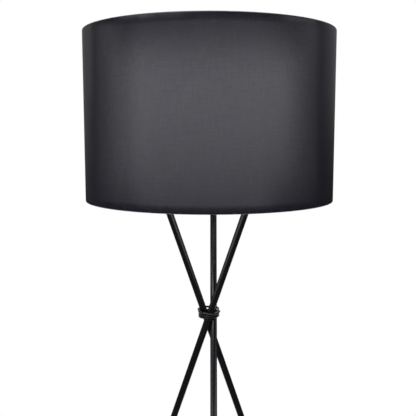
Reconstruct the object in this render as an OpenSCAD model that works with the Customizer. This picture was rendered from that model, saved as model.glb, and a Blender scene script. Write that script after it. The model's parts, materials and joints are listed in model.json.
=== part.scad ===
// Tripod floor lamp: three straight tubes cross in a wire binding and carry a
// three-armed hub, a screw-shell lampholder, a bulb and a drum shade.
// Millimetres, +Z up, origin on the floor under the lamp's centre line.
// The front foot is towards -Y. Each leg leans straight away from its waist point,
// so the three legs lie on one twisted surface and pass each other at the waist.

/* [Shade] */
// Outer diameter of the drum
shade_d = 450; // [350:10:500]
// Height of the drum
shade_h = 300; // [200:10:350]
// Height of the drum's bottom edge above the floor
shade_z = 1240; // [1200:10:1260]
// Wire diameter of the two rims
rim_wire_d = 3.2; // [2.5:0.1:4]
// Rod diameter of the spider's arms
spider_rod_d = 4; // [3:0.5:5]

/* [Stand] */
// Lean of each leg from the vertical, in degrees
lean = 20.4; // [18:0.2:23]
// Distance of each leg's axis from the centre line where the legs pass each other
waist_r = 8.2; // [8:0.1:10]
// Height at which the legs pass each other
waist_z = 1008; // [980:1:1020]
// Outer diameter of the leg tubes
tube_d = 12.7; // [12:0.1:13]
// Bore of the leg tubes, threaded for the hollow studs at each end
tube_bore = 10; // [10:0.1:10.4]
// Height of the hub plate's underside
hub_z = 1262; // [1258:1:1266]
// Width of the hub's arms
hub_arm_w = 20; // [18:1:24]
// Thickness of the hub plate
hub_t = 3; // [2:0.5:3]

/* [Waist binding] */
// Diameter of the binding's wire
binding_wire_d = 3.8; // [3:0.1:3.8]
// Height of the lowest turn, at the front, above the waist
binding_lift = 10.2; // [8:0.2:12]

/* [Lampholder and bulb] */
// Largest diameter of the bulb's globe
globe_d = 60; // [50:1:60]
// Outer diameter of the lampholder's thread
holder_thread_d = 39.2; // [39:0.1:39.4]

/* [Hidden] */

$fn = 72;
tiny = 0.01;
FRONT = 0;
RIGHT = 1;
LEFT = 2;
legs = [FRONT, RIGHT, LEFT];
leg_turn = 120;

// Leg tubes, measured along a leg's axis from its waist point
tube_r = tube_d / 2;
foot_s = -waist_z / cos(lean);
foot_sole = 3;
tube_end_s = foot_s + (foot_sole + tube_r * sin(lean)) / cos(lean);
lug_reach = 16;
lug_s = (hub_z - lug_reach * sin(lean) - waist_z) / cos(lean);
joint_s = (tube_end_s + lug_s) / 2;

// M10 x 1 hollow stud, nut and toothed washer
stud_r = 4.97;
stud_bore_r = 3.6;
stud_hole_r = 5.1;
joint_stud_len = 30;
nut_flats = 14;
nut_t = 4;
washer_t = 1;
washer_r = 9;
washer_bore_r = 5.15;

// Rubber feet
foot_r = 9;
foot_base_r = 12.5;
foot_under = 5;
foot_flare_s = 8;
foot_len = 34;
foot_gap = 0.03;

// Cable outlet, low on the right leg and facing the back
outlet_s = foot_s + 62;
outlet_hole_r = 4;
outlet_bore_r = 3;
outlet_neck_gap = 0.03;
outlet_flange_r = 5.6;
outlet_inner_x = 4.2;
outlet_outer_x = tube_r + 1.6;

// Waist binding, measured in turns back from the wire's free end
binding_turns = 3.6;
binding_pitch = binding_wire_d + 0.08;
binding_round_r = 17.9;
binding_shift = 0.7;
binding_gap = 0.15;
binding_end = -25;
binding_front = 3.18;
binding_slack = 2.4;
binding_steps = 26;
binding_sides = 8;

// Lampholder heights
hub_top = hub_z + hub_t;
cap_z = hub_top + washer_t;
cap_neck_h = 7;
cap_neck_r = 7.5;
cap_h = 23;
cap_r = 18;
wall = 2;
skirt_z = cap_z + cap_h;
shoulder_z = skirt_z + 11;
shoulder_r = 22.3;
shoulder_t = 2;
skirt_top = shoulder_z + 24;
skirt_r = holder_thread_d / 2;
skirt_lip_t = 2;
spigot_len = 4;
spigot_r = cap_r - wall - 0.03;
ledge_t = 2;
barrel_r = 13.8;
barrel_wall = 1.8;
core_block_r = 14.2;
core_z = skirt_z - 5;
core_floor_z = skirt_z + ledge_t + 2;
core_r = skirt_r - wall - 0.2;

// Contacts
leaf_t = 0.5;
leaf_w = 5;
contact_gap = 0.35;
terminal_x = 8;
terminal_hole_r = 1.6;

// Shade fitting
fitter_bore_r = 21;
fitter_r = 29;
fitter_t = 2;
fitter_gap = 0.1;
fitter_z = shoulder_z + fitter_gap;
ring_z = fitter_z + fitter_t + fitter_gap;
ring_h = 9;
ring_flange_t = 3;
ring_r = 27.5;
ring_grip_r = 24.5;
ring_bore_r = skirt_r + 0.3;
ring_flutes = 24;
ring_flute_r = 1.1;

// Bulb
tip_z = core_floor_z + 3.8;
tip_t = 1.6;
tip_r = 4.8;
insulator_t = 3.8;
bulb_cap_r = 13.1;
bulb_cap_wall = 0.6;
bulb_cap_z = tip_z + tip_t + insulator_t;
bulb_cap_h = 22;
bulb_body_z = bulb_cap_z + bulb_cap_h;
bulb_body_h = 36;
bulb_body_wall = 1.6;
globe_r = globe_d / 2;
globe_wall = 1.2;
globe_z = bulb_body_z + bulb_body_h + 11;
globe_cut_z = bulb_body_z + bulb_body_h;
globe_cut_r = sqrt(globe_r * globe_r - pow(globe_z - globe_cut_z, 2));
board_t = 1.6;

// Shade shells, from outside to inside
shade_r = shade_d / 2;
shade_top = shade_z + shade_h;
cover_t = 0.6;
liner_t = 0.7;
skin_gap = 0.05;
liner_r = shade_r - cover_t - skin_gap;
rim_wire_r = rim_wire_d / 2;
rim_r = liner_r - liner_t - skin_gap - rim_wire_r;
hem_r = rim_r - rim_wire_r - skin_gap - cover_t;
hem_h = 11;
spider_r = liner_r - liner_t - skin_gap - spider_rod_d / 2;
spider_z = fitter_z - spider_rod_d / 2;
spider_bend_r = 9;
spider_start_r = 24.6;
spider_slit_w = spider_rod_d + 1.2;
rim_low_z = shade_z + cover_t + skin_gap + rim_wire_r;
rim_high_z = shade_top - cover_t - skin_gap - rim_wire_r;
spider_first_angle = 30;

// Colours
black_paint = [0.05, 0.05, 0.055];
black_fabric = [0.13, 0.13, 0.14];
rubber = [0.03, 0.03, 0.03];
zinc = [0.7, 0.71, 0.72];
brass = [0.8, 0.66, 0.36];
white = [0.93, 0.93, 0.91];
phenolic = [0.06, 0.055, 0.05];

// ---- Places ----

// Puts a leg's waist point at the origin and its axis along Z
module along_leg(leg) {
    rotate([0, 0, leg_turn * leg])
        translate([waist_r, 0, waist_z])
            rotate([-lean, 0, 0])
                children();
}

// A plain or bored round bar along Z
module bar(r, from, to, bore = 0) {
    translate([0, 0, from])
        difference() {
            cylinder(r = r, h = to - from);
            if (bore > 0)
                translate([0, 0, -1])
                    cylinder(r = bore, h = to - from + 2);
        }
}

// ---- Legs ----

module lower_tube(leg) {
    color(black_paint)
        along_leg(leg)
            difference() {
                bar(tube_r, tube_end_s, joint_s, tube_bore / 2);
                if (leg == RIGHT)
                    translate([0, 0, outlet_s])
                        rotate([0, 90, 0])
                            cylinder(r = outlet_hole_r, h = tube_d);
            }
}

module upper_tube(leg) {
    color(black_paint)
        along_leg(leg)
            bar(tube_r, joint_s, lug_s, tube_bore / 2);
}

module joint_stud(leg) {
    color(zinc)
        along_leg(leg)
            bar(stud_r, joint_s - joint_stud_len / 2, joint_s + joint_stud_len / 2, stud_bore_r);
}

module top_stud(leg) {
    color(zinc)
        along_leg(leg)
            bar(stud_r, lug_s - 14, lug_s + hub_t + washer_t + nut_t + 2, stud_bore_r);
}

// A rubber ferrule, flared at its base and cut flat to the floor
module foot(leg) {
    color(rubber)
        difference() {
            along_leg(leg)
                union() {
                    bar(foot_r, foot_s + foot_flare_s, foot_s + foot_len);
                    translate([0, 0, foot_s - foot_under])
                        cylinder(r1 = foot_base_r, r2 = foot_r, h = foot_flare_s + foot_under);
                }
            along_leg(leg)
                translate([0, 0, tube_end_s])
                    cylinder(r = tube_r + foot_gap, h = foot_len + 10);
            translate([-1000, -1000, -100])
                cube([2000, 2000, 100]);
        }
}

// A bush with a saddle flange that follows the tube
module cable_outlet_grommet() {
    color(rubber)
        along_leg(RIGHT)
            difference() {
                translate([0, 0, outlet_s])
                    rotate([0, 90, 0])
                        union() {
                            bar(outlet_hole_r - outlet_neck_gap, outlet_inner_x, outlet_outer_x, outlet_bore_r);
                            difference() {
                                bar(outlet_flange_r, 2, outlet_outer_x, outlet_bore_r + tiny);
                                rotate([0, -90, 0])
                                    translate([0, 0, -20])
                                        cylinder(r = tube_r + outlet_neck_gap, h = 40);
                            }
                        }
            }
}

// ---- Waist binding ----

// Distance from the centre line to a wire's axis pulled tight round the three legs,
// in the direction a degrees, z above the waist, its axis r from each leg's axis
function wrap_r(a, z, r) =
    let(
        run = z * tan(lean),
        leg_r = sqrt(waist_r * waist_r + run * run),
        first = atan2(run, waist_r),
        off = abs(((a - first + 60) % 120 + 120) % 120 - 60),
        edge = atan2(r * sin(60), leg_r + r * cos(60))
    )
    off < edge
        ? leg_r * cos(off) + sqrt(r * r - pow(leg_r * sin(off), 2))
        : (leg_r * cos(60) + r) / cos(60 - off);

function ease(x) = let(t = min(max(x, 0), 1)) t * t * (3 - 2 * t);

// Axis of the wire u turns back from its free end. The turns climb side by side; the
// last but one lifts off at the right and the back, the last steps down and rides over
// it at the front, and the free end springs out to the right
function binding_point(u) =
    let(
        a = binding_end - 360 * u,
        climb = binding_pitch * (binding_front - u),
        slack = binding_slack * ease((1.02 - u) / 0.2) * ease((u - 0.38) / 0.22),
        step = 0.85 * binding_pitch * ease((0.36 - u) / 0.2),
        over = (binding_wire_d + 0.1) * ease((0.4 - u) / 0.12),
        lift = binding_lift + climb + slack - step,
        thick = tube_r / cos(lean) + binding_wire_d / 2 + binding_gap,
        tight = wrap_r(a, lift + 1.5, thick),
        loose = binding_round_r - binding_shift * cos(a),
        tip = pow(max(0, 1 - 18 * u), 2),
        r = pow(pow(tight, 30) + pow(loose, 30), 1 / 30) + over + 0.6 * tip
    )
    [r * cos(a), r * sin(a), waist_z + lift + 3 * tip];

function ring_at(p, r, sides) =
    let(a = atan2(p[1], p[0]))
    [for (k = [0:sides - 1])
        let(b = 360 * k / sides)
        p + r * [cos(b) * cos(a), cos(b) * sin(a), sin(b)]];

// A closed tube through the given points
module tube_through(path, r, sides) {
    rings = [for (p = path) ring_at(p, r, sides)];
    points = [for (ring = rings) each ring];
    last = len(path) - 1;
    walls = [
        for (i = [0:last - 1], k = [0:sides - 1])
            let(m = (k + 1) % sides, a = i * sides, b = (i + 1) * sides)
            each [[a + k, a + m, b + k], [a + m, b + m, b + k]]
    ];
    start_cap = [for (k = [sides - 1:-1:0]) k];
    end_cap = [for (k = [0:sides - 1]) last * sides + k];
    polyhedron(points = points, faces = concat(walls, [start_cap, end_cap]), convexity = 6);
}

module waist_binding() {
    count = ceil(binding_turns * binding_steps);
    path = [for (i = [count:-1:0]) binding_point(binding_turns * i / count)];
    color(black_paint)
        tube_through(path, binding_wire_d / 2, binding_sides);
}

// ---- Hub ----

// One flat arm, the bead of its bend and the lug that lies square to the leg
module hub_arm(leg) {
    half = hub_arm_w / 2;
    mitre = hub_t / 2 * tan(lean / 2);
    bend_y = lug_s * sin(lean) - lug_reach * cos(lean) + mitre;
    rotate([0, 0, leg_turn * leg])
        translate([waist_r - half, 0, hub_z]) {
            cube([hub_arm_w, bend_y, hub_t]);
            translate([0.1, bend_y, hub_t / 2])
                rotate([0, 90, 0])
                    cylinder(r = hub_t / 2 + 0.1, h = hub_arm_w - 0.2);
        }
    along_leg(leg)
        translate([0, 0, lug_s]) {
            translate([-half, -lug_reach - mitre, 0])
                cube([hub_arm_w, lug_reach + mitre, hub_t]);
            cylinder(r = half + 1.2, h = hub_t);
        }
}

module hub_plate() {
    color(black_paint)
        difference() {
            union() {
                translate([0, 0, hub_z])
                    cylinder(r = 27, h = hub_t);
                for (leg = legs)
                    hub_arm(leg);
            }
            translate([0, 0, hub_z - 1])
                cylinder(r = stud_hole_r, h = hub_t + 2);
            for (leg = legs)
                along_leg(leg)
                    translate([0, 0, lug_s - 1])
                        cylinder(r = stud_hole_r, h = hub_t + 2);
        }
}

module hex_nut() {
    difference() {
        cylinder(r = nut_flats / sqrt(3), h = nut_t, $fn = 6);
        translate([0, 0, -1])
            cylinder(r = tube_bore / 2, h = nut_t + 2);
    }
}

// A lock washer with teeth round its edge
module toothed_washer() {
    teeth = 10;
    difference() {
        cylinder(r = washer_r, h = washer_t);
        translate([0, 0, -1])
            cylinder(r = washer_bore_r, h = washer_t + 2);
        for (i = [0:teeth - 1])
            rotate([0, 0, 360 * i / teeth])
                translate([washer_r, 0, -1])
                    cylinder(r = 1.4, h = washer_t + 2);
    }
}

module leg_top_washers() {
    color(zinc)
        for (leg = legs)
            along_leg(leg)
                translate([0, 0, lug_s + hub_t])
                    toothed_washer();
}

module leg_top_nuts() {
    color(zinc)
        for (leg = legs)
            along_leg(leg)
                translate([0, 0, lug_s + hub_t + washer_t])
                    hex_nut();
}

module holder_stud() {
    color(zinc)
        bar(stud_r, hub_z - washer_t - nut_t - 3, cap_z + cap_neck_h, stud_bore_r);
}

module holder_stud_washer() {
    color(zinc)
        for (z = [hub_z - washer_t, hub_top])
            translate([0, 0, z])
                toothed_washer();
}

module holder_stud_nut() {
    color(zinc)
        translate([0, 0, hub_z - washer_t - nut_t])
            hex_nut();
}

// ---- Lampholder ----

module lampholder_cap() {
    shoulder = cap_neck_h + 6;
    color(phenolic)
        translate([0, 0, cap_z])
            difference() {
                union() {
                    cylinder(r = cap_neck_r, h = cap_neck_h);
                    translate([0, 0, cap_neck_h - 3])
                        cylinder(r1 = cap_neck_r + 1, r2 = cap_r, h = shoulder - cap_neck_h + 3);
                    translate([0, 0, shoulder])
                        cylinder(r = cap_r, h = cap_h - shoulder);
                }
                translate([0, 0, -1])
                    cylinder(r = tube_bore / 2, h = cap_h);
                translate([0, 0, cap_neck_h])
                    cylinder(r1 = cap_neck_r, r2 = cap_r - wall, h = shoulder - cap_neck_h);
                translate([0, 0, shoulder - tiny])
                    cylinder(r = cap_r - wall, h = cap_h);
            }
}

// The threaded sleeve: a spigot into the cap and a ledge for the insert, a shoulder
// for the shade's fitter, and a lip round the mouth
module lampholder_skirt() {
    color(phenolic)
        difference() {
            union() {
                bar(spigot_r, skirt_z - spigot_len, skirt_z + ledge_t);
                bar(skirt_r, skirt_z, skirt_top);
                bar(shoulder_r, shoulder_z - shoulder_t, shoulder_z);
            }
            bar(core_block_r + 0.2, skirt_z - spigot_len - 1, skirt_top + 1);
            bar(skirt_r - wall, skirt_z + ledge_t, skirt_top - skirt_lip_t);
        }
}

// The insulating insert: a terminal block with a barrel round the bulb's cap
module lampholder_core() {
    color(white)
        difference() {
            union() {
                bar(core_block_r, core_z, core_floor_z);
                bar(core_r, skirt_z + ledge_t, core_floor_z);
                bar(barrel_r + barrel_wall, core_floor_z - 1, skirt_top - skirt_lip_t);
            }
            bar(barrel_r, core_floor_z, skirt_top);
            for (side = [-1, 1])
                translate([side * terminal_x, 0, core_z - 1])
                    cylinder(r = terminal_hole_r, h = skirt_top);
            translate([barrel_r - 1, -3.1, core_floor_z])
                cube([1.9, 6.2, skirt_top]);
        }
}

// A brass leaf that stands under the bulb's tip
module centre_contact_spring() {
    top = tip_z - contact_gap - leaf_t;
    half = leaf_w / 2;
    color(brass)
        difference() {
            union() {
                translate([-10.5, -half, core_floor_z])
                    cube([6.5, leaf_w, leaf_t]);
                hull() {
                    translate([-4.6, -half, core_floor_z])
                        cube([0.6, leaf_w, leaf_t]);
                    translate([-1, -half, top])
                        cube([0.6, leaf_w, leaf_t]);
                }
                translate([-1, -half, top])
                    cube([5, leaf_w, leaf_t]);
            }
            translate([-terminal_x, 0, core_floor_z - 1])
                cylinder(r = terminal_hole_r, h = 3);
        }
}

// A brass tongue up one side of the barrel that feeds the bulb's screw cap
module side_contact_spring() {
    half = leaf_w / 2;
    color(brass)
        difference() {
            union() {
                translate([4.5, -half, core_floor_z])
                    cube([barrel_r - 4.5 + 0.7, leaf_w, leaf_t]);
                translate([barrel_r + 0.2, -half, core_floor_z])
                    cube([leaf_t, leaf_w, 12]);
            }
            translate([terminal_x, 0, core_floor_z - 1])
                cylinder(r = terminal_hole_r, h = 3);
        }
}

// Cheese-head screws up through the block into the contacts
module terminal_screws() {
    head_r = 2.8;
    head_t = 2;
    color(zinc)
        for (side = [-1, 1])
            translate([side * terminal_x, 0, 0]) {
                bar(terminal_hole_r - 0.03, core_z, core_floor_z + leaf_t + 0.6);
                difference() {
                    bar(head_r, core_z - head_t, core_z);
                    translate([-head_r, -0.4, core_z - head_t - 0.1])
                        cube([2 * head_r, 0.8, 0.9]);
                }
            }
}

// The plastic ring that clamps the shade's fitter against the shoulder
module shade_ring() {
    color(phenolic)
        difference() {
            union() {
                bar(ring_r, ring_z, ring_z + ring_flange_t);
                bar(ring_grip_r, ring_z, ring_z + ring_h);
            }
            bar(ring_bore_r, ring_z - 1, ring_z + ring_h + 1);
            for (i = [0:ring_flutes - 1])
                rotate([0, 0, 360 * i / ring_flutes])
                    translate([ring_grip_r + 0.3, 0, ring_z + ring_flange_t])
                        cylinder(r = ring_flute_r, h = ring_h, $fn = 24);
        }
}

// ---- Bulb ----

module bulb_tip_contact() {
    color(zinc)
        translate([0, 0, tip_z]) {
            cylinder(r1 = tip_r - 1.6, r2 = tip_r, h = 0.8);
            translate([0, 0, 0.8])
                cylinder(r = tip_r, h = tip_t - 0.8);
        }
}

module bulb_insulator() {
    color(phenolic)
        translate([0, 0, tip_z + tip_t])
            cylinder(r1 = tip_r + 1.2, r2 = bulb_cap_r - 1, h = insulator_t);
}

module bulb_screw_cap() {
    color(zinc)
        bar(bulb_cap_r, bulb_cap_z, bulb_body_z, bulb_cap_r - bulb_cap_wall);
}

// The housing flares from the cap to the globe's seat
module bulb_body() {
    neck_r = bulb_cap_r + 0.6;
    color(white)
        translate([0, 0, bulb_body_z])
            difference() {
                union() {
                    cylinder(r = neck_r, h = 7);
                    translate([0, 0, 7])
                        cylinder(r1 = neck_r, r2 = globe_cut_r, h = bulb_body_h - 7);
                }
                translate([0, 0, -1])
                    cylinder(r = neck_r - bulb_body_wall, h = 9);
                translate([0, 0, 7])
                    cylinder(
                        r1 = neck_r - bulb_body_wall,
                        r2 = globe_cut_r - bulb_body_wall,
                        h = bulb_body_h - 7 + tiny
                    );
            }
}

module bulb_led_board() {
    color(zinc)
        translate([0, 0, globe_cut_z - board_t])
            cylinder(r = globe_cut_r - bulb_body_wall - 0.9, h = board_t);
}

module bulb_globe() {
    color(white)
        difference() {
            translate([0, 0, globe_z])
                difference() {
                    sphere(r = globe_r);
                    sphere(r = globe_r - globe_wall);
                }
            translate([0, 0, globe_cut_z - globe_d])
                cylinder(r = globe_d, h = globe_d);
        }
}

// ---- Shade ----

module shade_fitter_ring() {
    color(white)
        bar(fitter_r, fitter_z, fitter_z + fitter_t, fitter_bore_r);
}

// Three rods run out level under the fitter ring and turn down onto the lower rim
module shade_spider_arms() {
    flat_end = spider_r - spider_bend_r;
    rod_r = spider_rod_d / 2;
    color(white)
        for (i = [0:2])
            rotate([0, 0, spider_first_angle + 120 * i]) {
                translate([spider_start_r, 0, spider_z])
                    rotate([0, 90, 0])
                        cylinder(r = rod_r, h = flat_end - spider_start_r);
                translate([flat_end, 0, spider_z - spider_bend_r])
                    rotate([90, 0, 0])
                        rotate_extrude(angle = 90)
                            translate([spider_bend_r, 0])
                                circle(r = rod_r, $fn = 32);
                translate([spider_r, 0, rim_low_z + rim_wire_r])
                    cylinder(r = rod_r, h = spider_z - spider_bend_r - rim_low_z - rim_wire_r);
            }
}

module rim_wire(z) {
    color(zinc)
        translate([0, 0, z])
            rotate_extrude($fn = 180)
                translate([rim_r, 0])
                    circle(r = rim_wire_r, $fn = 32);
}

module shade_liner() {
    color(white)
        bar(liner_r, shade_z + cover_t + skin_gap, shade_top - cover_t - skin_gap, liner_r - liner_t);
}

// The outer fabric turns over each rim wire into a hem, slit round the spider's arms
module shade_cover() {
    color(black_fabric)
        difference() {
            union() {
                bar(shade_r, shade_z, shade_top, shade_r - cover_t);
                for (z = [shade_z, shade_top - cover_t])
                    bar(shade_r - cover_t / 2, z, z + cover_t, hem_r);
                for (z = [shade_z, shade_top - hem_h])
                    bar(hem_r + cover_t, z, z + hem_h, hem_r);
            }
            for (i = [0:2])
                rotate([0, 0, spider_first_angle + 120 * i])
                    translate([hem_r - 1, -spider_slit_w / 2, rim_low_z])
                        cube([cover_t + 2, spider_slit_w, hem_h]);
        }
}

// ---- Nodes ----

lower_tube(FRONT);  // front_leg_lower_tube
upper_tube(FRONT);  // front_leg_upper_tube
joint_stud(FRONT);  // front_leg_joint_stud
top_stud(FRONT);  // front_leg_top_stud
foot(FRONT);  // front_foot
lower_tube(RIGHT);  // right_leg_lower_tube
upper_tube(RIGHT);  // right_leg_upper_tube
joint_stud(RIGHT);  // right_leg_joint_stud
top_stud(RIGHT);  // right_leg_top_stud
foot(RIGHT);  // right_foot
lower_tube(LEFT);  // left_leg_lower_tube
upper_tube(LEFT);  // left_leg_upper_tube
joint_stud(LEFT);  // left_leg_joint_stud
top_stud(LEFT);  // left_leg_top_stud
foot(LEFT);  // left_foot
cable_outlet_grommet();
waist_binding();
hub_plate();
leg_top_washers();
leg_top_nuts();
holder_stud();
holder_stud_washer();
holder_stud_nut();
lampholder_cap();
lampholder_skirt();
lampholder_core();
centre_contact_spring();
side_contact_spring();
terminal_screws();
shade_ring();
bulb_tip_contact();
bulb_insulator();
bulb_screw_cap();
bulb_body();
bulb_led_board();
bulb_globe();
shade_fitter_ring();
shade_spider_arms();
rim_wire(rim_low_z);  // shade_bottom_wire
rim_wire(rim_high_z);  // shade_top_wire
shade_liner();
shade_cover();
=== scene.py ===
"""Looks of the tripod floor lamp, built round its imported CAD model.

Metres, in the CAD frame: +Z up, origin on the floor, front foot towards -Y.
Soft, wound, threaded and moulded pieces replace their plain CAD solids, the other hard
parts are shown with their edges broken, and every surface gets a procedural material.
"""

import json
import math

import bmesh
import bpy
from mathutils import Matrix, Vector, noise

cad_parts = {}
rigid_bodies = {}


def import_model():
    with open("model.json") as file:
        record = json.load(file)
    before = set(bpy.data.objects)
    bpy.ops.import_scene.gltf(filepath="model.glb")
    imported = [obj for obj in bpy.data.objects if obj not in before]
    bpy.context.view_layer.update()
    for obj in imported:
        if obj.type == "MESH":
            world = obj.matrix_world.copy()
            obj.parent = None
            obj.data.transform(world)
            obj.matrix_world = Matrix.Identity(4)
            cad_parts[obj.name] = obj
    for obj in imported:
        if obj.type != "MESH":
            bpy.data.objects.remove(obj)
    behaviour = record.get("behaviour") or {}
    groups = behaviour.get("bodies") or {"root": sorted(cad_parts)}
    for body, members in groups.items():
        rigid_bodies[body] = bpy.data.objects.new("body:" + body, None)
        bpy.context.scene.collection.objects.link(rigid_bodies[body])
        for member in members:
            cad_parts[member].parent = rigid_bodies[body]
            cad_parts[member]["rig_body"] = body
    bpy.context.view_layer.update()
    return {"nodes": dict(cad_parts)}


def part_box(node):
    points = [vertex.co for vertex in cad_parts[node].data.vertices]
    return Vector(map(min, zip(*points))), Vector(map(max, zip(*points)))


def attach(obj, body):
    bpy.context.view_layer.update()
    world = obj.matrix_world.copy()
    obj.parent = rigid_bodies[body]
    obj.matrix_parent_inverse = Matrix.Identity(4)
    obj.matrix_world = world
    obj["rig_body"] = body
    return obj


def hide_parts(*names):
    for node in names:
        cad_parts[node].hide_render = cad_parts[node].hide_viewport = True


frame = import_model()
scene = bpy.context.scene
MM = 0.001

# ---- Camera ----


def add_camera():
    """In front of the lamp at the height of the shade, looking a little down."""
    distance, height = 1.1906, 1.3688
    pitch, yaw = -6.97, 0.113
    data = bpy.data.cameras.new("camera")
    data.sensor_width = 36.0
    data.lens = 55.904
    camera = bpy.data.objects.new("camera", data)
    camera.location = (0.0, -distance, height)
    camera.rotation_euler = (math.radians(90 + pitch), 0.0, math.radians(yaw))
    scene.collection.objects.link(camera)
    scene.camera = camera


add_camera()

# ---- Sizes taken from the frame ----

cover_low, cover_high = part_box("shade_cover")
SHADE_R = cover_high.x
SHADE_Z = cover_low.z
SHADE_TOP = cover_high.z
COVER_T = 0.6 * MM
wire_low, wire_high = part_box("shade_bottom_wire")
RIM_WIRE_R = (wire_high.z - wire_low.z) / 2
RIM_R = wire_high.x - RIM_WIRE_R
RIM_LOW_Z = (wire_low.z + wire_high.z) / 2
ROD_AT = [math.radians(30 + 120 * i) for i in range(3)]

# The legs: each axis passes WAIST_R from the centre line at its waist point and leans
# sideways there, so that the three cross without touching.
# A name that ends in _S is a distance along a leg's axis, up from its waist point.
LEAN = math.radians(20.4)
WAIST_R = 8.2 * MM
WAIST_Z = 1.008
TUBE_R = 6.35 * MM
LEGS = {"front": 0, "right": 1, "left": 2}
HUB_T = 3 * MM
WASHER_T = 1 * MM
SOLE_T = 3 * MM
LUG_REACH = 16 * MM
hub_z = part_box("holder_stud_washer")[1].z - HUB_T - WASHER_T
FOOT_S = -WAIST_Z / math.cos(LEAN)
TUBE_END_S = FOOT_S + (SOLE_T + TUBE_R * math.sin(LEAN)) / math.cos(LEAN)
LUG_S = (hub_z - LUG_REACH * math.sin(LEAN) - WAIST_Z) / math.cos(LEAN)
JOINT_S = (TUBE_END_S + LUG_S) / 2

# ---- Node trees ----


class Nodes:
    """A node tree with the few steps that the studio and the finishes share."""

    def __init__(self, tree):
        self.tree = tree

    def node(self, kind, *links, **settings):
        """A new node. links are its inputs in order: a socket to link, a value to set, or None."""
        made = self.tree.nodes.new("ShaderNode" + kind)
        for key, value in settings.items():
            setattr(made, key, value)
        for target, source in zip(made.inputs, links):
            self.feed(source, target)
        return made

    def feed(self, source, target):
        if isinstance(source, bpy.types.NodeSocket):
            self.tree.links.new(source, target)
        elif source is not None:
            target.default_value = source

    def math(self, operation, *values):
        return self.node("Math", *values, operation=operation).outputs[0]

    def span(self, value, low, high, start=0.3, end=0.7, smooth=False):
        """value from start..end turned to low..high. A noise lies mostly in 0.3..0.7."""
        kind = "SMOOTHSTEP" if smooth else "LINEAR"
        made = self.node("MapRange", value, start, end, low, high, interpolation_type=kind)
        return made.outputs[0]

    def blend(self, share, first, second):
        """A colour between two."""
        made = self.node("Mix", data_type="RGBA")
        self.feed(share, made.inputs[0])
        for colour, target in ((first, made.inputs[6]), (second, made.inputs[7])):
            self.feed((*colour, 1) if isinstance(colour, tuple) else colour, target)
        return made.outputs[2]


# ---- Studio ----


class Sky(Nodes):
    """The light from each direction. Azimuth 0 is the camera's side, positive to its right."""

    def __init__(self):
        world = bpy.data.worlds.new("studio")
        world.use_nodes = True
        scene.world = world
        super().__init__(world.node_tree)
        x, y, z = self.node("SeparateXYZ", self.node("TexCoord").outputs["Generated"]).outputs
        back = self.math("MULTIPLY", y, -1.0)
        turn = self.math("ARCTAN2", x, back)
        self.azimuth = self.math("MULTIPLY", turn, 180 / math.pi)
        self.elevation = self.math("MULTIPLY", self.math("ARCSINE", z), 180 / math.pi)
        self.total = None

    def window(self, value, rise, fall):
        """1 between the two edges of value, each edge a (start, end) in degrees."""
        up = self.span(value, 0.0, 1.0, *rise, smooth=True)
        down = self.span(value, 1.0, 0.0, *fall, smooth=True)
        return self.math("MULTIPLY", up, down)

    def lamp(self, radiance, azimuths, elevations, slope=0.0):
        """A soft-edged patch of light, brighter by slope for each degree up."""
        patch = self.math("MULTIPLY", self.window(self.azimuth, *azimuths),
                          self.window(self.elevation, *elevations))
        level = self.math("MULTIPLY_ADD", self.elevation, slope, radiance)
        patch = self.math("MULTIPLY", patch, level)
        self.total = patch if self.total is None else self.math("ADD", self.total, patch)

    def finish(self, ambient, seen):
        """The camera sees a plain colour, and everything else the lamps over an ambient."""
        lit = self.math("ADD", self.total, ambient)
        camera = self.node("LightPath").outputs["Is Camera Ray"]
        colour = self.blend(camera, self.node("CombineColor", lit, lit, lit).outputs[0], seen)
        self.feed(colour, self.tree.nodes["Background"].inputs["Color"])


def add_lamps(sky):
    """Each lamp has its radiance, then its azimuths and its elevations as (rise, fall)."""
    every = ((-200, -190), (190, 200))
    behind = (((112, 140), (190, 200)), ((-200, -190), (-140, -112)))
    # A wide strip light behind the camera, level with the shade, and its two ends
    sky.lamp(1.53, ((-74, -44), (40, 68)), ((-12, -4.8), (6.7, 7.7)), slope=0.105)
    sky.lamp(1.60, ((-106, -54), (-74, -44)), ((-8.5, -3.0), (6.6, 7.6)), slope=0.07)
    sky.lamp(1.36, ((40, 68), (60, 101)), ((-8.5, -2.8), (6.2, 7.2)), slope=0.11)
    # Its dim glow on the studio's walls: past its ends, above it, and on the walls behind
    sky.lamp(0.30, ((-130, -98), (-94, -72)), ((-9, -3), (8, 14)), slope=0.01)
    sky.lamp(0.27, ((72, 96), (98, 120)), ((-9, -3), (8, 14)), slope=0.016)
    sky.lamp(0.14, ((-25, 0), (72, 92)), ((6, 9), (14, 20)))
    sky.lamp(0.085, ((108, 124), (175, 190)), ((-7, 5), (14, 22)), slope=0.007)
    sky.lamp(0.09, ((-190, -175), (-132, -118)), ((-12, 4), (14, 22)), slope=0.005)
    sky.lamp(0.06, ((-142, -134), (-128, -118)), ((1, 6), (14, 20)))
    # Two bright boxes above the strip at the left, and dim ones under them and at the right
    sky.lamp(3.4, ((-58, -48), (-10, 0)), ((22, 25), (33, 36)))
    sky.lamp(1.3, ((-90, -80), (-58, -48)), ((13.5, 17), (26, 32)))
    sky.lamp(0.6, ((-64, -52), (-28, -16)), ((13, 15), (18.5, 21.5)))
    sky.lamp(0.5, ((60, 72), (100, 112)), ((11, 13), (16, 20)))
    # Soft light high all round, and a brighter box straight above
    sky.lamp(0.5, every, ((36, 50), (89, 91)))
    sky.lamp(1.9, every, ((56, 64), (89, 91)))
    # A key over the back, and the bright backdrop low behind the lamp
    for azimuths in behind:
        sky.lamp(1.3, azimuths, ((20, 27), (46, 56)))
        sky.lamp(0.9, azimuths, ((-60, -50), (-26, -15)))


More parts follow.
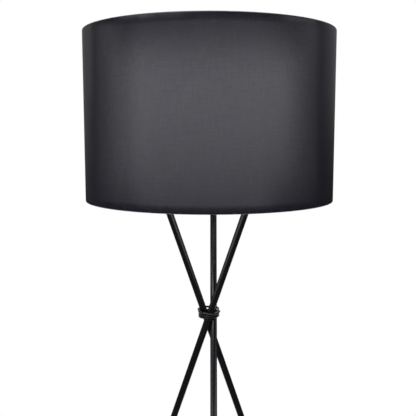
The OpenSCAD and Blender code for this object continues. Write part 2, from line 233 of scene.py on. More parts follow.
def add_studio():
    sky = Sky()
    add_lamps(sky)
    sky.finish(ambient=0.02, seen=(1.0, 1.0, 1.0))
    bpy.ops.mesh.primitive_circle_add(vertices=128, radius=1.6, fill_type="NGON")
    floor = bpy.context.object
    floor.name = "floor"
    floor.visible_glossy = False
    floor.data.materials.append(floor_finish())
    scene.view_settings.view_transform = "Standard"


# ---- Materials ----


class Finish(Nodes):
    """A Principled material under construction."""

    def __init__(self, name, **sockets):
        self.material = bpy.data.materials.new(name)
        self.material.use_nodes = True
        super().__init__(self.material.node_tree)
        self.shader = self.tree.nodes["Principled BSDF"]
        for socket, value in sockets.items():
            self.shader.inputs[socket.replace("_", " ")].default_value = value

    def feed(self, source, target):
        if isinstance(target, str):
            target = self.shader.inputs[target]
        super().feed(source, target)

    def place(self, scale=(1, 1, 1), kind="Object"):
        """Coordinates in metres on the piece, stretched by scale."""
        coordinates = self.node("TexCoord").outputs[kind]
        return self.node("Mapping", coordinates, None, None, scale).outputs[0]

    def noise(self, scale, detail=2.0, roughness=0.5, place=None):
        """Noise from 0 to 1, with scale features to the metre."""
        made = self.node("TexNoise")
        self.feed(self.place() if place is None else place, made.inputs["Vector"])
        made.inputs["Scale"].default_value = scale
        made.inputs["Detail"].default_value = detail
        made.inputs["Roughness"].default_value = roughness
        return made.outputs[0]

    def bump(self, height, depth):
        """Relief of that depth in metres."""
        made = self.node("Bump")
        made.inputs["Strength"].default_value = 1.0
        made.inputs["Distance"].default_value = depth
        self.feed(height, made.inputs["Height"])
        self.feed(made.outputs[0], "Normal")


def coat_finish(name, dark, light, rough, peel, peel_depth, **sockets):
    """Paint or enamel: an orange-peel surface whose gloss and colour drift a little."""
    f = Finish(name, **sockets)
    drift = f.noise(22, 3)
    f.feed(f.blend(f.span(drift, 0, 1), dark, light), "Base Color")
    f.feed(f.span(f.noise(140, 4), rough[0], rough[1]), "Roughness")
    f.bump(f.noise(peel, 2), peel_depth)
    return f.material


def grained_finish(name, dark, light, rough, grain, grain_depth, **sockets):
    """Moulded rubber or plastic: a fine spark-eroded grain and soft flow marks."""
    f = Finish(name, **sockets)
    flow = f.noise(60, 3, place=f.place((1, 1, 0.25)))
    f.feed(f.blend(f.span(flow, 0, 1), dark, light), "Base Color")
    f.feed(f.span(f.noise(240, 3), rough[0], rough[1]), "Roughness")
    f.bump(f.noise(grain, 3, 0.7), grain_depth)
    return f.material


def metal_finish(name, bright, dull, rough, streak=(1, 1, 12), relief=6e-6):
    """Plated or rolled metal: fine streaks of the tool and patches of dulled plating."""
    f = Finish(name, Metallic=1.0)
    patches = f.noise(180, 5, 0.6)
    streaks = f.noise(420, 3, place=f.place(streak))
    f.feed(f.blend(f.span(patches, 0, 1, 0.35, 0.75), bright, dull), "Base Color")
    f.feed(f.span(streaks, rough[0], rough[1]), "Roughness")
    f.bump(streaks, relief)
    return f.material


def fabric_finish():
    """Plain-woven polycotton: threads over and under each other, with slubs both ways.

    The piece's UVs are metres along and across the cloth.
    """
    pitch = 0.42 * MM
    f = Finish("woven_black_fabric", Specular_IOR_Level=0.68,
               Specular_Tint=(0.95, 0.93, 1.0, 1.0), Sheen_Weight=0.0)
    uv = f.place(kind="UV")
    split = f.node("SeparateXYZ", uv)
    along, across = split.outputs[0], split.outputs[1]
    slub_a = f.noise(1, 3, 0.6, f.place((60, 2400, 1), "UV"))
    slub_b = f.noise(1, 3, 0.6, f.place((2400, 60, 1), "UV"))
    warp = f.math("ABSOLUTE", f.math("SINE", f.math("MULTIPLY", along, math.pi / pitch)))
    weft = f.math("ABSOLUTE", f.math("SINE", f.math("MULTIPLY", across, math.pi / pitch)))
    column = f.math("FLOOR", f.math("DIVIDE", along, pitch))
    row = f.math("FLOOR", f.math("DIVIDE", across, pitch))
    parity = f.math("PINGPONG", f.math("ADD", column, row), 1.0)
    over = f.math("MULTIPLY", parity, f.math("MULTIPLY", warp, f.span(slub_b, 0.8, 1.1)))
    under = f.math("MULTIPLY", f.math("SUBTRACT", 1.0, parity),
                   f.math("MULTIPLY", weft, f.span(slub_a, 0.8, 1.1)))
    height = f.math("ADD", over, under)
    slubs = f.math("ADD", slub_a, slub_b)
    # Thicker yarns, a few threads wide and a finger long, that show from across a room
    yarns = f.math("ADD", f.noise(1, 2, 0.5, f.place((24, 360, 1), "UV")),
                   f.noise(1, 2, 0.5, f.place((360, 24, 1), "UV")))
    weight = f.math("ADD", f.span(slubs, 0, 0.5, 0.8, 1.2), f.span(yarns, 0, 0.5, 0.7, 1.3))
    thread = f.blend(weight, (0.010, 0.0090, 0.0145), (0.033, 0.0305, 0.0465))
    f.feed(f.blend(f.span(height, 0, 1, 0.0, 0.6), (0.013, 0.013, 0.0185), thread), "Base Color")
    f.feed(f.span(weight, 0.172, 0.14), "Roughness")
    f.bump(height, 4e-6)
    return f.material


def floor_finish():
    """A pale matt floor, clear from below so that views from there see the lamp's underside."""
    f = Finish("pale_floor", Roughness=0.7)
    tone = f.span(f.noise(3, 4), 0, 1)
    f.feed(f.blend(tone, (0.90, 0.90, 0.90), (0.93, 0.93, 0.93)), "Base Color")
    clear = f.node("BsdfTransparent").outputs[0]
    below = f.node("NewGeometry").outputs["Backfacing"]
    mix = f.node("MixShader", below, f.shader.outputs[0], clear)
    f.feed(mix.outputs[0], f.tree.nodes["Material Output"].inputs["Surface"])
    return f.material


def opal_finish():
    """Milky glass or plastic that light passes a little way into."""
    f = Finish("opal_diffuser", Subsurface_Weight=0.35, Subsurface_Scale=0.004,
               Subsurface_Radius=(1.0, 1.0, 1.0))
    f.feed(f.blend(f.noise(90, 2), (0.90, 0.90, 0.87), (0.94, 0.94, 0.92)), "Base Color")
    f.feed(f.span(f.noise(200, 3), 0.30, 0.38), "Roughness")
    f.bump(f.noise(3000, 2), 4e-6)
    return f.material


def make_finishes():
    """One material for each of the record's slots."""
    return {
        "black_powder_coat": coat_finish(
            "powder_coat", (0.010, 0.008, 0.011), (0.013, 0.011, 0.014), (0.13, 0.20), 450, 2e-6),
        "black_binding_wire": grained_finish(
            "sleeved_wire", (0.010, 0.008, 0.011), (0.014, 0.012, 0.015), (0.16, 0.24),
            1500, 1.2e-6),
        "zinc_plated_steel": metal_finish(
            "zinc_plate", (0.72, 0.73, 0.76), (0.58, 0.58, 0.57), (0.26, 0.42)),
        "black_rubber": grained_finish(
            "rubber", (0.014, 0.014, 0.014), (0.024, 0.024, 0.023), (0.55, 0.75), 1800, 3e-5),
        "black_thermoplastic": grained_finish(
            "thermoplastic", (0.010, 0.010, 0.011), (0.015, 0.015, 0.015), (0.28, 0.40),
            2400, 1.2e-5),
        "white_insulator": grained_finish(
            "insulator", (0.80, 0.79, 0.76), (0.86, 0.85, 0.82), (0.18, 0.30), 900, 1.0e-5),
        "contact_brass": metal_finish(
            "brass", (0.86, 0.66, 0.31), (0.66, 0.46, 0.20), (0.22, 0.38), (12, 1, 1)),
        "nickel_plate": metal_finish(
            "nickel", (0.70, 0.68, 0.64), (0.58, 0.55, 0.50), (0.14, 0.26)),
        "black_insulator": grained_finish(
            "vitreous", (0.006, 0.005, 0.006), (0.012, 0.010, 0.012), (0.06, 0.14), 700, 1.0e-5),
        "white_housing": grained_finish(
            "housing", (0.82, 0.82, 0.80), (0.87, 0.87, 0.86), (0.34, 0.44), 2600, 1.0e-5),
        "aluminium_board": metal_finish(
            "board", (0.80, 0.81, 0.82), (0.70, 0.70, 0.70), (0.30, 0.42), (1, 14, 1)),
        "opal_diffuser": opal_finish(),
        "white_enamelled_steel": coat_finish(
            "enamel", (0.80, 0.80, 0.78), (0.86, 0.86, 0.84), (0.20, 0.32), 900, 3e-6),
        "white_liner": coat_finish(
            "styrene", (0.85, 0.85, 0.83), (0.87, 0.87, 0.86), (0.36, 0.44), 260, 8e-6),
        "black_fabric": fabric_finish(),
    }


# ---- Mesh helpers ----


def add_mesh(name, points, faces, slot):
    """A smooth-shaded closed piece with its normals outwards, in one of the finishes."""
    mesh = bpy.data.meshes.new(name)
    mesh.from_pydata([tuple(p) for p in points], [], faces)
    return add_piece(name, mesh, slot)


def add_piece(name, mesh, slot):
    """A piece with that mesh, cleaned, in one of the finishes."""
    tidy_mesh(mesh)
    piece = bpy.data.objects.new(name, mesh)
    scene.collection.objects.link(piece)
    mesh.materials.append(finishes[slot])
    return piece


def tidy_mesh(mesh, angle=math.radians(35)):
    """Points that coincide are merged, normals face out, and only sharp edges stay sharp."""
    shape = bmesh.new()
    shape.from_mesh(mesh)
    bmesh.ops.remove_doubles(shape, verts=shape.verts, dist=1e-6)
    loose = [edge for edge in shape.edges if not edge.link_faces]
    bmesh.ops.delete(shape, geom=loose, context="EDGES")
    bmesh.ops.recalc_face_normals(shape, faces=shape.faces)
    for face in shape.faces:
        face.smooth = True
    for edge in shape.edges:
        edge.smooth = len(edge.link_faces) == 2 and edge.calc_face_angle(0) < angle
    shape.to_mesh(mesh)
    shape.free()


def turned(outline, steps):
    """Points and faces of a turned solid. outline(angle) gives its closed section there,
    as (radius, height)."""
    points, faces = [], []
    for i in range(steps):
        a = 2 * math.pi * i / steps
        points += [(r * math.cos(a), r * math.sin(a), z) for r, z in outline(a)]
    count = len(points) // steps
    for i in range(steps):
        j = (i + 1) % steps
        for k in range(count):
            m = (k + 1) % count
            faces.append((i * count + k, j * count + k, j * count + m, i * count + m))
    return points, faces


def placed(solids):
    """One set of points and faces from several, each put in place by its own matrix."""
    points, faces = [], []
    for (more_points, more_faces), matrix in solids:
        start = len(points)
        points += [matrix @ Vector(p) for p in more_points]
        faces += [tuple(start + i for i in face) for face in more_faces]
    return points, faces


def along_leg(leg):
    """Carries a solid that stands along Z, with its waist point at 0, on to that leg."""
    turn = Matrix.Rotation(math.radians(120 * LEGS[leg]), 4, "Z")
    return turn @ Matrix.Translation((WAIST_R, 0, WAIST_Z)) @ Matrix.Rotation(-LEAN, 4, "X")


def at_height(z):
    """Moves a solid up by z."""
    return Matrix.Translation((0, 0, z))


def softened(outline, radius, steps=4):
    """A closed outline with each corner rounded. A point's third number overrides the radius."""
    made = []
    count = len(outline)
    for i, corner in enumerate(outline):
        reach = corner[2] if len(corner) > 2 else radius
        before, here, after = (Vector(outline[(i + k) % count][:2]) for k in (-1, 0, 1))
        back, ahead = before - here, after - here
        cut = min(reach, 0.45 * back.length, 0.45 * ahead.length)
        if cut < 1e-6 or here.x < 1e-9:
            made.append(tuple(here))
            continue
        start, end = here + back.normalized() * cut, here + ahead.normalized() * cut
        for k in range(steps + 1):
            t = k / steps
            point = start * (1 - t) ** 2 + here * 2 * t * (1 - t) + end * t ** 2
            made.append(tuple(point))
    return made


def thread(angle, low, high, root, crest, pitch, rows=8, sharp=False):
    """The (radius, height) points up one side of a right-handed thread that fades at both ends."""
    count = int(rows * (high - low) / pitch)
    made = []
    for i in range(count + 1):
        z = low + (high - low) * i / count
        wave = math.cos(2 * math.pi * z / pitch - angle)
        if sharp:
            # Straight flanks between narrow flats
            wave = max(-1.0, min(1.0, 1.25 * math.asin(wave) / (math.pi / 2)))
        fade = ease((z - low) / pitch) * ease((high - z) / pitch)
        made.append((root + (crest - root) * fade * (1 + wave) / 2, z))
    return made


def stand_for(name, solid, slot, body, *nodes):
    """A new piece in place of those CAD nodes."""
    piece = add_mesh(name, *solid, slot)
    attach(piece, body)
    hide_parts(*nodes)


def apply(piece):
    """Applies the piece's modifiers."""
    depsgraph = bpy.context.evaluated_depsgraph_get()
    mesh = bpy.data.meshes.new_from_object(piece.evaluated_get(depsgraph))
    piece.modifiers.clear()
    piece.data = mesh


def ease(x):
    """0 up to x = 0 and 1 from x = 1, with a smooth step between."""
    t = min(max(x, 0.0), 1.0)
    return t * t * (3 - 2 * t)


# ---- Hard parts with their edges broken ----


# The width of each part's rounded edges, in millimetres
EDGES = {
    "shade_fitter_ring": 0.5, "leg_top_washers": 0.12, "holder_stud_washer": 0.12,
    "lampholder_core": 0.3, "centre_contact_spring": 0.1, "side_contact_spring": 0.1,
    "terminal_screws": 0.2, "bulb_led_board": 0.15, "cable_outlet_grommet": 0.35,
    **{f"{leg}_leg_{half}_tube": 0.45 for leg in LEGS for half in ("lower", "upper")},
}


def broken_edges(node, width):
    """The CAD part with every edge sharper than 28 degrees rounded to that width."""
    shape = bmesh.new()
    shape.from_mesh(frame["nodes"][node].data)
    bmesh.ops.remove_doubles(shape, verts=shape.verts, dist=2e-6)
    bmesh.ops.recalc_face_normals(shape, faces=shape.faces)
    bmesh.ops.dissolve_limit(
        shape, angle_limit=math.radians(0.5), verts=shape.verts, edges=shape.edges)
    sharp = [e for e in shape.edges
             if len(e.link_faces) == 2 and e.calc_face_angle(0) > math.radians(28)]
    bmesh.ops.bevel(
        shape, geom=sharp, offset=width * MM, offset_type="OFFSET", segments=3, profile=0.5,
        affect="EDGES", clamp_overlap=True)
    mesh = bpy.data.meshes.new(node + "_finished")
    shape.to_mesh(mesh)
    shape.free()
    piece = add_piece(node + "_finished", mesh, slot_of[node])
    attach(piece, frame["nodes"][node]["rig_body"])
    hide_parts(node)


def hub_plate():
    """The welded and bent hub under its coat: remeshed, so that the coat rounds every edge."""
    mesh = frame["nodes"]["hub_plate"].data.copy()
    piece = add_piece("hub_plate_coated", mesh, "black_powder_coat")
    remesh = piece.modifiers.new("coat", "REMESH")
    remesh.mode = "VOXEL"
    remesh.voxel_size = 0.5 * MM
    smooth = piece.modifiers.new("flow", "SMOOTH")
    smooth.factor = 0.5
    smooth.iterations = 4
    apply(piece)
    # Smooth everywhere
    tidy_mesh(piece.data, angle=math.pi)
    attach(piece, "stand")
    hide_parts("hub_plate")


# ---- Studs, nuts and feet ----


def stud(low, high):
    """A hollow M10 x 1 stud."""
    crest, root, bore, pitch = 4.97 * MM, 4.4 * MM, 3.6 * MM, 1 * MM
    end, chamfer = 0.2 * MM, 0.25 * MM

    def outline(angle):
        side = thread(angle, low + end, high - end, root, crest, pitch, 6, sharp=True)
        return [(bore + chamfer, low), *side, (bore + chamfer, high),
                (bore, high - chamfer), (bore, low + chamfer)]

    return turned(outline, 40)


def studs():
    in_tube, past_lug, joint_half = 14 * MM, 7 * MM, 15 * MM
    for leg in LEGS:
        top = stud(LUG_S - in_tube, LUG_S + HUB_T + past_lug)
        stand_for(f"{leg}_leg_top_stud_thread", placed([(top, along_leg(leg))]),
                  "zinc_plated_steel", "stand", f"{leg}_leg_top_stud")
        joint = stud(JOINT_S - joint_half, JOINT_S + joint_half)
        stand_for(f"{leg}_leg_joint_stud_thread", placed([(joint, along_leg(leg))]),
                  "zinc_plated_steel", "stand", f"{leg}_leg_joint_stud")
    low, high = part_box("holder_stud")
    stand_for("holder_stud_thread", stud(low.z, high.z), "zinc_plated_steel", "stand",
              "holder_stud")


def hex_nut():
    """A hexagon nut 14 mm across its flats, its corners chamfered on both faces."""
    flat, bore, thick, mouth = 7 * MM, 5 * MM, 4 * MM, 0.3 * MM
    face_r, slope = flat - 0.1 * MM, math.tan(math.radians(60))
    rises = [0.0, 0.15 * MM, 0.3 * MM, 0.45 * MM, 0.62 * MM]

    def outline(angle):
        turn = math.radians(60)
        corner = flat / math.cos(angle % turn - turn / 2)
        lower = [(min(corner, face_r + slope * rise), rise) for rise in rises]
        upper = [(r, thick - rise) for r, rise in reversed(lower)]
        return [(bore + mouth, 0), *lower, *upper, (bore + mouth, thick),
                (bore, thick - mouth), (bore, mouth)]

    return turned(outline, 96)


def nuts():
    at_lug = at_height(LUG_S + HUB_T + WASHER_T)
    stand_for("leg_top_hex_nuts", placed([(hex_nut(), along_leg(leg) @ at_lug) for leg in LEGS]),
              "zinc_plated_steel", "stand", "leg_top_nuts")
    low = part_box("holder_stud_nut")[0].z
    stand_for("holder_hex_nut", placed([(hex_nut(), at_height(low))]),
              "zinc_plated_steel", "stand", "holder_stud_nut")


def ferrule():
    """A rubber foot along its leg: a flared base, three grooves and a narrower mouth.

    It starts below the floor, and is cut off level afterwards.
    """
    low, top = FOOT_S - 5 * MM, FOOT_S + 34 * MM
    base_r, body_r, bore = 12.5 * MM, 9 * MM, TUBE_R + 0.03 * MM
    groove_r, mouth_r = body_r - 0.5 * MM, body_r - 0.6 * MM
    outline = [(0, low), (base_r, low, 0.8 * MM), (base_r - 0.4 * MM, FOOT_S - 1 * MM, 2 * MM),
               (body_r, FOOT_S + 8 * MM, 3 * MM)]
    for i in range(3):
        z = FOOT_S + (13 + 5 * i) * MM
        outline += [(body_r, z), (groove_r, z + 0.6 * MM),
                    (groove_r, z + 1.6 * MM), (body_r, z + 2.2 * MM)]
    outline += [(body_r, top - 5 * MM), (mouth_r, top - 3 * MM), (mouth_r, top, 0.9 * MM),
                (bore, top, 0.5 * MM), (bore, TUBE_END_S), (0, TUBE_END_S)]
    section = softened(outline, 0.4 * MM)
    return turned(lambda angle: section, 72)


def feet():
    """The three ferrules, each cut level with the floor."""
    for leg in LEGS:
        points, faces = placed([(ferrule(), along_leg(leg))])
        mesh = bpy.data.meshes.new(f"{leg}_rubber_foot")
        mesh.from_pydata([tuple(p) for p in points], [], faces)
        shape = bmesh.new()
        shape.from_mesh(mesh)
        bmesh.ops.remove_doubles(shape, verts=shape.verts, dist=1e-6)
        cut = bmesh.ops.bisect_plane(
            shape, geom=[*shape.verts, *shape.edges, *shape.faces], dist=1e-7,
            plane_co=(0, 0, 0), plane_no=(0, 0, -1), clear_outer=True)
        rim = [e for e in cut["geom_cut"] if isinstance(e, bmesh.types.BMEdge)]
        bmesh.ops.contextual_create(shape, geom=rim)
        shape.to_mesh(mesh)
        shape.free()
        piece = add_piece(f"{leg}_rubber_foot", mesh, "black_rubber")
        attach(piece, "stand")
        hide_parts(f"{leg}_foot")


# ---- Lampholder ----


def lampholder_cap():
    """The holder's cap: a neck on the stud, a domed shoulder and a ribbed barrel."""
    low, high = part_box("lampholder_cap")
    z, top, r = low.z, high.z, high.x
    bore, neck, wall = 5 * MM, 7.5 * MM, 2 * MM
    outline = [(bore, z, 0.4 * MM), (neck, z, 0.8 * MM), (neck, z + 3.4 * MM, 1 * MM),
               (neck + 1.2 * MM, z + 4.2 * MM, 1 * MM), (r - 0.4 * MM, z + 12.4 * MM, 4 * MM),
               (r, z + 13.4 * MM, 0.5 * MM)]
    ribs_low, ribs_high = z + 14.5 * MM, top - 2.5 * MM
    grooves, groove_depth = 32, 0.45 * MM
    inner = [(r, top, 0.5 * MM), (r - wall, top, 0.3 * MM), (r - wall, z + 13 * MM, 1 * MM),
             (neck, z + 7 * MM, 1 * MM), (bore, z + 7 * MM, 0.3 * MM)]

    def section(angle):
        groove = groove_depth * max(0.0, math.cos(grooves * angle)) ** 2
        ribs = [(r, ribs_low, 0), (r - groove, ribs_low + 1 * MM, 0),
                (r - groove, ribs_high - 1 * MM, 0), (r, ribs_high, 0)]
        return softened([*outline, *ribs, *inner], 0.3 * MM, 3)

    stand_for("lampholder_cap_ribbed", turned(section, 192), "black_thermoplastic", "stand",
              "lampholder_cap")


def lampholder_skirt():
    """The sleeve: a spigot, a shoulder that the shade sits on, and a coarse outer thread."""
    low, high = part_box("lampholder_skirt")
    z, top = low.z, high.z
    spigot, bore, hollow = 15.97 * MM, 14.4 * MM, 17.6 * MM
    crest, root, shoulder, pitch = 19.6 * MM, 18.8 * MM, high.x, 3 * MM
    body_z, ledge = z + 4 * MM, z + 15 * MM
    hollow_low, hollow_high = z + 6 * MM, top - 2 * MM

    def section(angle):
        lower = [(bore, z, 0.2 * MM), (spigot, z, 0.3 * MM), (spigot, body_z, 0),
                 (crest, body_z, 0.6 * MM), (crest, ledge - 2 * MM, 0.3 * MM),
                 (shoulder, ledge - 2 * MM, 0.6 * MM), (shoulder, ledge, 0.4 * MM),
                 (root, ledge, 0.1 * MM)]
        side = thread(angle, ledge + 0.3 * MM, top - 1.2 * MM, root, crest, pitch)
        upper = [(root, top - 0.4 * MM, 0.2 * MM), (root - 0.5 * MM, top, 0.2 * MM),
                 (bore, top, 0.4 * MM), (bore, hollow_high, 0), (hollow, hollow_high, 0),
                 (hollow, hollow_low, 0), (bore, hollow_low, 0)]
        return softened([*lower, *[(r, h, 0) for r, h in side], *upper], 0.2 * MM, 3)

    stand_for("lampholder_skirt_threaded", turned(section, 120), "black_thermoplastic", "stand",
              "lampholder_skirt")


def shade_ring():
    """The clamping ring: a rounded flange, scalloped grip and a thread inside."""
    low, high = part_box("shade_ring")
    z, top, flange = low.z, high.z, high.x
    grip, crest, root, pitch = 24.5 * MM, 19.9 * MM, 20.7 * MM, 3 * MM
    scallops, scallop_depth, flange_top = 24, 0.9 * MM, z + 3 * MM

    def section(angle):
        waist = grip - scallop_depth * max(0.0, math.cos(scallops * angle)) ** 1.5
        outer = [(root, z, 0.4 * MM), (flange, z, 0.9 * MM), (flange, flange_top, 1.2 * MM),
                 (waist, flange_top, 0.5 * MM), (waist, top - 0.8 * MM, 0.3 * MM),
                 (grip - scallop_depth, top, 0.4 * MM), (root, top, 0.4 * MM)]
        side = thread(angle, z + 0.6 * MM, top - 0.6 * MM, root, crest, pitch)
        return softened([*outer, *[(r, h, 0) for r, h in reversed(side)]], 0.3 * MM, 3)

    stand_for("shade_ring_scalloped", turned(section, 240), "black_thermoplastic", "shade_ring",
              "shade_ring")


# ---- Bulb ----


def bulb_cap():
    """The pressed screw cap: sheet metal with the same rounded thread inside and out."""
    low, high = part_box("bulb_screw_cap")
    z, top, crest = low.z, high.z, high.x
    root, sheet, pitch = crest - 1.05 * MM, 0.5 * MM, 3.63 * MM

    def section(angle):
        side = thread(angle, z + 1.2 * MM, top - 2.5 * MM, root, crest, pitch, 9)
        outer = [(root - 0.6 * MM, z), (root - 0.15 * MM, z + 0.35 * MM), (root, z + 0.9 * MM),
                 *side,
                 (root, top - 1.6 * MM), (root + 0.5 * MM, top - 0.9 * MM), (root + 0.7 * MM, top)]
        return [*outer, *[(r - sheet, h) for r, h in reversed(outer)]]

    stand_for("bulb_screw_cap_threaded", turned(section, 96), "nickel_plate", "bulb",
              "bulb_screw_cap")


def bulb_contact():
    """The tip: a low dome of solder on its disc."""
    low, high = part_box("bulb_tip_contact")
    z, top, r = low.z, high.z, high.x
    outline = [(0, z), (1.6 * MM, z, 1 * MM), (r - 1.5 * MM, z + 0.25 * MM, 1 * MM),
               (r, z + 0.9 * MM, 0.5 * MM), (r, top, 0.2 * MM), (0, top)]
    section = softened(outline, 0.3 * MM)
    stand_for("bulb_tip_solder", turned(lambda angle: section, 64), "nickel_plate", "bulb_contact",
              "bulb_tip_contact")


def bulb_insulator():
    """The black glass between the tip and the cap, a flat cone."""
    low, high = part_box("bulb_insulator")
    z, top, r = low.z, high.z, high.x
    outline = [(0, z), (6 * MM, z, 0.5 * MM), (7.6 * MM, z + 1.5 * MM, 1 * MM),
               (r - 1 * MM, top - 1 * MM, 1 * MM), (r, top, 0.3 * MM), (0, top)]
    section = softened(outline, 0.4 * MM)
    stand_for("bulb_insulator_glass", turned(lambda angle: section, 72), "black_insulator", "bulb",
              "bulb_insulator")


def bulb_housing():
    """The white housing: a collar on the cap, a flare and a shadow line under the globe."""
    low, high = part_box("bulb_body")
    z, top, r = low.z, high.z, high.x
    neck, wall = 13.7 * MM, 1.6 * MM
    shadow_r = r - 0.5 * MM
    outline = [(neck - wall, z), (neck, z, 0.6 * MM), (neck, z + 7 * MM, 12 * MM),
               (r - 0.6 * MM, top - 3 * MM, 9 * MM), (r, top - 1.2 * MM, 0.3 * MM),
               (r, top - 0.7 * MM, 0.2 * MM), (shadow_r, top - 0.5 * MM, 0.1 * MM),
               (shadow_r, top, 0.1 * MM),
               (r - wall, top, 0.1 * MM), (r - wall - 0.8 * MM, top - 3 * MM, 8 * MM),
               (neck - wall, z + 7.6 * MM, 8 * MM)]
    section = softened(outline, 0.3 * MM, 8)
    stand_for("bulb_housing", turned(lambda angle: section, 96), "white_housing", "bulb",
              "bulb_body")


# ---- Welds ----


def blob(size, seed):
    """A lumpy bead of weld about as large as a box of that size."""
    rings, sides = 9, 14
    points = []
    for i in range(rings + 1):
        tilt = math.pi * i / rings
        for k in range(sides):
            turn = 2 * math.pi * k / sides
            p = Vector((math.sin(tilt) * math.cos(turn), math.sin(tilt) * math.sin(turn),
                        math.cos(tilt)))
            p *= 1 + 0.12 * noise.noise(2.3 * p + Vector((seed, 0, 0)))
            points.append((p.x * size[0] / 2, p.y * size[1] / 2, p.z * size[2] / 2))
    faces = []
    for i in range(rings):
        for k in range(sides):
            m = (k + 1) % sides
            faces.append((i * sides + k, i * sides + m, (i + 1) * sides + m, (i + 1) * sides + k))
    return points, faces


def welds():
    """Beads where the spider's rods meet the fitter ring and the lower rim wire."""
    rods_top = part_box("shade_spider_arms")[1].z
    ring_r, rim_r = 26.4 * MM, RIM_R - 0.2 * MM
    ring_bead, rim_bead = (4.2 * MM, 1.6 * MM, 1.4 * MM), (3.0 * MM, 1.8 * MM, 2.2 * MM)
    solids = []
    for i, angle in enumerate(ROD_AT):
        turn = Matrix.Rotation(angle, 4, "Z")
        for side in (-1, 1):
            place = Matrix.Translation((ring_r, side * 1.9 * MM, rods_top - 0.5 * MM))
            solids.append((blob(ring_bead, 10 * i + side), turn @ place))
            place = Matrix.Translation((rim_r, side * 1.8 * MM, RIM_LOW_Z + RIM_WIRE_R))
            solids.append((blob(rim_bead, 10 * i + side + 5), turn @ place))
    piece = add_mesh("spider_welds", *placed(solids), "white_enamelled_steel")
    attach(piece, "shade")


# ---- Shade cover ----


def cover_section():
    """The cloth's middle surface, hem edge to hem edge, as (radius, height, hem share).

    With it come the rows in a hem, and the radius that parts the hems from the wall.
    """
    half, gap = COVER_T / 2, 0.05 * MM
    hem_rows, roll_rows, wall_rows = 5, 14, 24
    hem_h, rise = 11 * MM, RIM_WIRE_R + 0.35 * MM
    wall_r, hem_r = SHADE_R - half, RIM_R - RIM_WIRE_R - gap - half
    roll_r, roll_centre = (wall_r - hem_r) / 2, (wall_r + hem_r) / 2
    wall_low, wall_high = SHADE_Z + half + rise, SHADE_TOP - half - rise
    edge_low, edge_high = SHADE_Z + hem_h, SHADE_TOP - hem_h

    def roll(centre_z, sign):
        """Points over one rim wire, from the wall to the hem."""
        turns = [math.pi * i / roll_rows for i in range(1, roll_rows)]
        return [(roll_centre + roll_r * math.cos(a), centre_z + sign * rise * math.sin(a), 0)
                for a in turns]

    rows = [(hem_r, edge_low + (wall_low - edge_low) * i / hem_rows, 1 - i / hem_rows)
            for i in range(hem_rows + 1)]
    rows += reversed(roll(wall_low, -1))
    rows += [(wall_r, wall_low + (wall_high - wall_low) * i / wall_rows, 0)
             for i in range(wall_rows + 1)]
    rows += roll(wall_high, 1)
    rows += [(hem_r, wall_high + (edge_high - wall_high) * i / hem_rows, i / hem_rows)
             for i in range(hem_rows + 1)]
    return rows, hem_rows, roll_centre


def shade_cover():
    """The fabric: a wall, rolled over each rim wire into a hem, and lapped at the back."""
    columns, lap_columns, lap_at = 600, 5, math.radians(90)
    step = 2 * math.pi / columns
    lap_rise = COVER_T + 0.05 * MM
    pucker_depth, fray_depth = 0.12 * MM, 0.5 * MM
    rows, hem_rows, hem_limit = cover_section()
    lengths = [0.0]
    for (r0, z0, _), (r1, z1, _) in zip(rows, rows[1:]):
        lengths.append(lengths[-1] + math.hypot(r1 - r0, z1 - z0))
    points, coordinates = [], []
    for i in range(columns + lap_columns):
        a = lap_at + step * i
        cos_a, sin_a = math.cos(a), math.sin(a)
        raised = lap_rise * ease((i - columns + 2) / 2)
        for (r, z, hem), length in zip(rows, lengths):
            outward = 1 if r > hem_limit else -1
            pucker = pucker_depth * noise.noise(Vector((40 * cos_a, 40 * sin_a, 300 * z)))
            fray = hem * fray_depth * noise.noise(Vector((25 * cos_a, 25 * sin_a, z)))
            near_edge = 1 - ease((min(z - SHADE_Z, SHADE_TOP - z) - 2 * MM) / (10 * MM))
            radius = r + outward * raised + near_edge * min(pucker, 0)
            points.append((radius * cos_a, radius * sin_a, z + fray))
            coordinates.append((SHADE_R * step * i, length))
    count = len(rows)
    slit_columns = [round((angle - lap_at) / step) % columns for angle in ROD_AT]
    faces = []
    for i in range(columns + lap_columns - 1):
        at_rod = any(centre - 1 <= i % columns <= centre for centre in slit_columns)
        for k in range(count - 1):
            # The lower hem is slit two columns wide at each of the spider's rods
            if at_rod and k < hem_rows:
                continue
            faces.append((i * count + k, (i + 1) * count + k,
                          (i + 1) * count + k + 1, i * count + k + 1))
    mesh = bpy.data.meshes.new("shade_fabric")
    mesh.from_pydata(points, [], faces)
    layer = mesh.uv_layers.new(name="cloth")
    for loop in mesh.loops:
        layer.data[loop.index].uv = coordinates[loop.vertex_index]
    mesh.polygons.foreach_set("use_smooth", [True] * len(mesh.polygons))
    mesh.materials.append(finishes["black_fabric"])
    piece = bpy.data.objects.new("shade_fabric", mesh)
    scene.collection.objects.link(piece)
    thick = piece.modifiers.new("thickness", "SOLIDIFY")
    thick.thickness = COVER_T
    thick.offset = 0
    apply(piece)
    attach(piece, "shade")
    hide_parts("shade_cover")


# ---- Waist binding ----


# The wire's radius, its turns, and where its free end lies, in degrees from +X
WIRE_R = 1.9 * MM
TURNS = 3.6
FREE_END = -25


def wrap_r(a, z, r):
    """Distance from the centre line to a wire pulled tight round the three legs."""
    run = z * math.tan(LEAN)
    leg_r = math.hypot(WAIST_R, run)
    first = math.atan2(run, WAIST_R)
    third = math.radians(60)
    off = abs((a - first + third) % (2 * third) - third)
    edge = math.atan2(r * math.sin(third), leg_r + r * math.cos(third))
    if off < edge:
        return leg_r * math.cos(off) + math.sqrt(r * r - (leg_r * math.sin(off)) ** 2)
    return (leg_r * math.cos(third) + r) / math.cos(third - off)


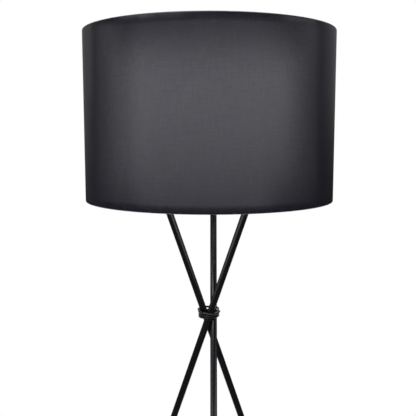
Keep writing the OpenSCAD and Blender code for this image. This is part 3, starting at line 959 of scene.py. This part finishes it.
def binding_point(u):
    """The wire's axis u turns back from its free end.

    The turns climb side by side. The last one rises clear in front, then comes down over
    the one before it, and its tip stands off.
    """
    wire = 2 * WIRE_R
    pitch = wire + 0.08 * MM
    a = math.radians(FREE_END - 360 * u)
    climb = pitch * (3.18 - u)
    slack = 2.4 * MM * ease((1.02 - u) / 0.2) * ease((u - 0.38) / 0.22)
    step = 0.85 * pitch * ease((0.36 - u) / 0.2)
    over = (wire + 0.1 * MM) * ease((0.4 - u) / 0.12)
    tip = max(0.0, 1 - 18 * u) ** 2
    lift = 10.2 * MM + climb + slack - step
    tight = wrap_r(a, lift + 1.5 * MM, TUBE_R / math.cos(LEAN) + WIRE_R + 0.15 * MM)
    loose = (17.9 - 0.7 * math.cos(a)) * MM
    # A soft maximum of the two, so that the wire eases from one to the other
    r = (tight ** 30 + loose ** 30) ** (1 / 30) + over + 0.6 * MM * tip
    return Vector((r * math.cos(a), r * math.sin(a), WAIST_Z + lift + 3 * MM * tip))


def waist_binding():
    """The wire wound round the legs, snipped to a wedge at its free end."""
    sides, steps, near = 28, 96, 0.002
    count = int(TURNS * steps)
    points = []
    for i in range(count + 1):
        u = TURNS * (count - i) / count
        centre = binding_point(u)
        back = binding_point(min(u + near, TURNS) if u > 0 else 2 * near)
        ahead = binding_point(max(u - near, 0) if u < TURNS else TURNS - 2 * near)
        along = (ahead - back).normalized()
        out = Vector((centre.x, centre.y, 0)).normalized()
        up = along.cross(out).normalized()
        out = up.cross(along)
        start = min(i / 3, 1.0)
        end = min((count - i) / 5, 1.0)
        wide = WIRE_R * (0.80 + 0.20 * math.sqrt(start))
        tall = wide * (0.25 + 0.75 * math.sqrt(end))
        for k in range(sides):
            b = 2 * math.pi * k / sides
            points.append(centre + wide * math.cos(b) * out + tall * math.sin(b) * up)
    faces = []
    for i in range(count):
        for k in range(sides):
            m = (k + 1) % sides
            faces.append((i * sides + k, i * sides + m, (i + 1) * sides + m, (i + 1) * sides + k))
    faces.append(tuple(range(sides)))
    faces.append(tuple(count * sides + k for k in range(sides)))
    piece = add_mesh("binding_wire", points, faces, "black_binding_wire")
    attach(piece, "stand")
    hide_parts("waist_binding")


# ---- The lamp ----

finishes = make_finishes()
add_studio()

slot_of = {name: piece.material_slots[0].material.name for name, piece in frame["nodes"].items()}
for name, piece in frame["nodes"].items():
    piece.material_slots[0].material = finishes[slot_of[name]]

shade_cover()
waist_binding()
for part, width in EDGES.items():
    broken_edges(part, width)
hub_plate()
studs()
nuts()
feet()
lampholder_cap()
lampholder_skirt()
shade_ring()
bulb_cap()
bulb_contact()
bulb_insulator()
bulb_housing()
welds()
